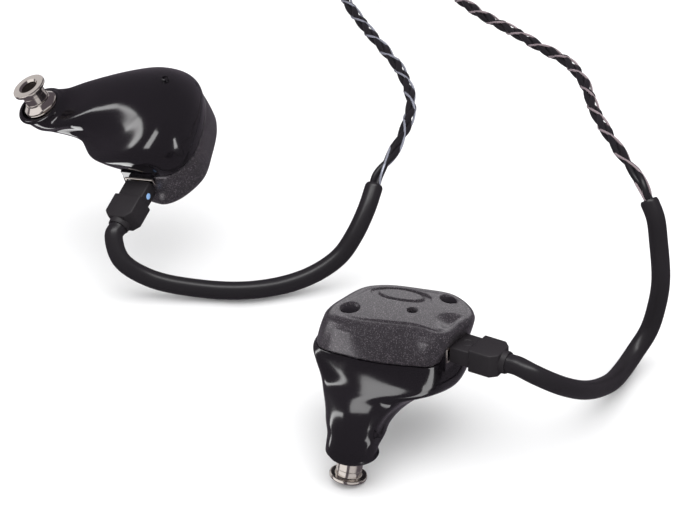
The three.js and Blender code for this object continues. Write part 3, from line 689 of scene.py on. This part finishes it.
def strands(name, points, radius, pitch, clear, step=0.3):
    """Two thick dark strands one way round and two thin clear ones the other way."""
    path = even(catmull(points, 1400), step)
    n, b = frames(path)
    run = np.arange(len(path)) * step
    for i in range(4):
        thin = i >= 2
        way, turn = (-1, pitch * 1.7) if thin else (1, pitch * 1.3)
        off, own = (radius * 0.80, radius * 0.20) if thin else (radius * 0.42, radius * 0.53)
        angle = way * 2 * math.pi * run / turn + (i % 2) * math.pi
        line = path + (n * np.cos(angle)[:, None] + b * np.sin(angle)[:, None]) * off
        finish, sides = (clear, 8) if thin else (STRAND, 12)
        obj = tube(f"{name}_strand_{i}", line, own, finish, sides)
        nodes = [name] if i == 0 else []
        fit(obj, "cable", *nodes, slot="cable_jacket")


def coil_points():
    points = [[12.0, 135.6, 1.8], [12.5, 139.0, 1.5]]
    steps = COIL_TURNS * 12

    def at(angle, radius, z):
        points.append([*(COIL_AT + radius * np.array([math.cos(angle), math.sin(angle)])), z])

    angle = -0.5 * math.pi + 0.35
    for k in range(steps + 1):
        radius = COIL_RADIUS - 1.2 * math.sin(k / steps * math.pi)
        height = MAIN_RADIUS + 0.1 + k / 12 * (2 * MAIN_RADIUS + 0.5)
        at(angle + k / 12 * 2 * math.pi, radius, height)
    for radius, z in DESCENT:
        angle += math.pi / 12
        at(angle, radius, z)
    x, y, z = points[-1]
    points.append([x - 4 * math.sin(angle), y + 4 * math.cos(angle), z])
    return np.array(points)


def build_slider_and_split():
    centre = middle_of("chin_slider")
    obj = rounded("slider_body", (8.6, 7.2, 4.5), centre, 1.1, PLASTIC, segments=6)
    fit(obj, "chin_slider", "chin_slider", slot="housing_plastic")
    for i in range(3):
        spot = centre + [0, (i - 1) * 1.5, 2.2]
        fit(rounded(f"slider_rib_{i}", (5.6, 0.5, 0.5), spot, 0.2, PLASTIC), "chin_slider")
    centre = middle_of("y_split")

    def waist(p):
        return p * [1.0 if p[1] < 0 else 0.72, 1, 1]

    obj = rounded("split_body", (7.8, 8.6, 4.5), centre, 1.1, PLASTIC, segments=6, shape=waist)
    fit(obj, "cable", "y_split", slot="housing_plastic")
    fit(rounded("split_band", (7.3, 0.7, 4.7), centre - [0, 1.2, 0], 0.3, STEEL), "cable")


BARREL_PROFILE = [
    (6.5, 0.0), (6.5, 2.55), (6.7, 2.8), (7.1, 2.98), (9.0, 2.98), (9.1, 2.86), (9.3, 2.86),
    (9.4, 2.98), (16.8, 2.98), (17.3, 2.9), (17.7, 2.7), (18.0, 2.4), (18.05, 0.0),
]
SLEEVE_PROFILE = [(18.2, 0.0), (18.2, 1.75), (25.2, 1.75), (25.3, 1.68), (25.32, 0.0)]
TIP_PROFILE = [
    (29.25, 0.0), (29.27, 1.68), (29.35, 1.75), (29.9, 1.75), (30.5, 1.45), (30.9, 1.25),
    (31.3, 1.42), (31.6, 1.6), (31.9, 1.62), (32.4, 1.3), (32.9, 0.75), (33.15, 0.3), (33.2, 0.0),
]


def relief_profile():
    """Five ribs that widen towards the barrel."""
    profile = [(0.3, 0.0), (0.3, 1.6), (0.6, 1.75)]
    for k in range(5):
        a = 0.9 + k * 1.05
        r = 1.8 + 0.12 * k
        profile += [(a, r), (a + 0.1, r + 0.1), (a + 0.6, r + 0.12), (a + 0.7, r - 0.1)]
        profile += [(a + 0.95, r - 0.1)]
    return profile + [(6.3, 2.4), (6.3, 0.0)]


def build_jack(end, way):
    for name, profile, finish, node in (
        ("jack_relief_ribbed", relief_profile(), PLASTIC, "jack_strain_relief"),
        ("jack_barrel_turned", BARREL_PROFILE, STEEL, "jack_barrel"),
        ("jack_sleeve_turned", SLEEVE_PROFILE, GOLD, "jack_sleeve"),
        ("jack_tip_turned", TIP_PROFILE, GOLD, "jack_tip"),
    ):
        fit(turned(name, profile, finish, end, way, 80), "cable", node)


# ---- CAD pieces that stay ------------------------------------------------------------------
KEPT = {
    "driver": CASE, "crossover_board": BOARD, "tube": CLEAR, "pin": GOLD, "contact": GOLD,
    "damper": WIRE_MESH, "jack_ring": GOLD, "insulator": PLASTIC, "socket": GLOSS,
}


def dress_kept_nodes():
    for name, obj in frame["nodes"].items():
        for key, finish in KEPT.items():
            if key in name:
                obj.data.materials.clear()
                obj.data.materials.append(finish)
                break


# ---- building ------------------------------------------------------------------------------
dress_kept_nodes()
for side, hook, run, clear in (
    ("left", LEFT_HOOK, LEFT_RUN, CLEAR_BLUE), ("right", RIGHT_HOOK, RIGHT_RUN, CLEAR_PINK)
):
    seat = Seat(side)
    build_faceplate(seat)
    build_shell(seat)
    build_caps(seat)
    build_nozzle(seat)
    build_socket(seat)
    build_plug(seat)
    build_hook(seat, hook)
    strands(f"{side}_cable", in_row(run), CABLE_RADIUS, CABLE_PITCH, clear)
build_slider_and_split()
coil = in_row(coil_points())
strands("main_cable", coil, MAIN_RADIUS, MAIN_PITCH, CLEAR_BLUE, 0.5)
build_jack(coil[-1], coil[-1] - coil[-2])

# ---- stage ---------------------------------------------------------------------------------
FLOOR_SIZE = 6.0
floor_mesh = bpy.data.meshes.new("floor")
f = FLOOR_SIZE / 2
floor_mesh.from_pydata([(-f, -f, 0), (f, -f, 0), (f, f, 0), (-f, f, 0)], [], [(0, 1, 2, 3)])
floor_mesh.materials.append(FLOOR)
floor = bpy.data.objects.new("floor", floor_mesh)
floor.location = (0, 0, min(0.0, cad_bounds[0][2]) - 0.0002)
bpy.context.scene.collection.objects.link(floor)


AIM = Vector(SHIFT * MM)
LIGHT_DISTANCE = 0.75


def panel(name, azimuth, elevation, wide, tall, brightness, shown=True, only=None):
    """A soft panel seen from the aim point at these angles (degrees); azimuth 0 is the front."""
    az, el = math.radians(azimuth), math.radians(elevation)
    way = Vector((math.sin(az) * math.cos(el), -math.cos(az) * math.cos(el), math.sin(el)))
    data = bpy.data.lights.new(name, "AREA")
    data.shape = "RECTANGLE"
    data.size = 2 * LIGHT_DISTANCE * math.tan(math.radians(wide / 2))
    data.size_y = 2 * LIGHT_DISTANCE * math.tan(math.radians(tall / 2))
    data.energy = brightness * math.pi * data.size * data.size_y
    lamp = bpy.data.objects.new(name, data)
    lamp.location = AIM + way * LIGHT_DISTANCE
    lamp.rotation_euler = (-way).to_track_quat("-Z", "Y").to_euler()
    lamp.visible_glossy = shown
    bpy.context.scene.collection.objects.link(lamp)
    if only:
        group = bpy.data.collections.new(f"{name}_receivers")
        for obj in bpy.context.scene.objects:
            label = f"{obj.name} {obj.data.materials[0].name}" if obj.type == "MESH" else ""
            if any(part in label for part in only):
                group.objects.link(obj)
        lamp.light_linking.receiver_collection = group


panel("right_strip", -116, 32, 8, 64, 4, only=("right_shell", "right_socket"))
panel("right_sheet_high", 176, 70, 22, 15, 2.4, only=("right_shell", "right_socket"))
panel("right_sheet_low", 62, 36, 18, 56, 3.0, only=("right_shell", "right_socket"))
panel("left_window_a", -97, 27, 8, 16, 4, only=("left_shell",))
panel("left_window_b", -43, 42, 20, 30, 4, only=("left_shell",))
panel("left_window_c", 55, 15, 9, 30, 5, only=("left_shell",))
panel("left_facet", -88, -58, 24, 20, 4, only=("left_shell", "left_socket"))
panel("flake_back", 180, 30, 70, 34, 0.9, only=("flake",))
panel("flake_side", -75, 5, 40, 40, 1.5, only=("flake",))
panel("flake_front", -50, -22, 16, 40, 2.4, only=("flake",))
for azimuth, brightness in ((-145, 0.6), (-60, 1.0), (30, 0.6), (120, 0.35)):
    panel(f"metal_{azimuth}", azimuth, 5, 70, 80, brightness, only=("steel", "gold"))
panel("sheen", 0, 78, 60, 16, 5, only=("sleeve", "plastic", "strand"))
panel("top", 0, 84, 60, 60, 0.6, shown=False)
floor.visible_glossy = False

# Bright for the eye and for soft light, but dark in reflections, so that black lacquer stays black.
world = bpy.data.worlds.new("studio")
bpy.context.scene.world = world
world.use_nodes = True
sky = world.node_tree
rays = sky.nodes.new("ShaderNodeLightPath")
shade = sky.nodes.new("ShaderNodeMix")
shade.data_type = "RGBA"
shade.inputs["A"].default_value = (1.35, 1.35, 1.35, 1)
shade.inputs["B"].default_value = (0.12, 0.105, 0.125, 1)
sky.links.new(rays.outputs["Is Glossy Ray"], shade.inputs["Factor"])
sky.links.new(shade.outputs["Result"], sky.nodes["Background"].inputs["Color"])
bpy.context.scene.view_settings.view_transform = "Standard"

camera_data = bpy.data.cameras.new("camera")
camera_data.sensor_width = 36
camera_data.lens = 185.67
camera_data.clip_start = 0.01
camera_data.clip_end = 20
camera = bpy.data.objects.new("camera", camera_data)
camera.location = AIM + Vector((0, -0.4945, 0.2855))
camera.rotation_euler = (AIM - camera.location).to_track_quat("-Z", "Y").to_euler()
bpy.context.scene.collection.objects.link(camera)
bpy.context.scene.camera = camera
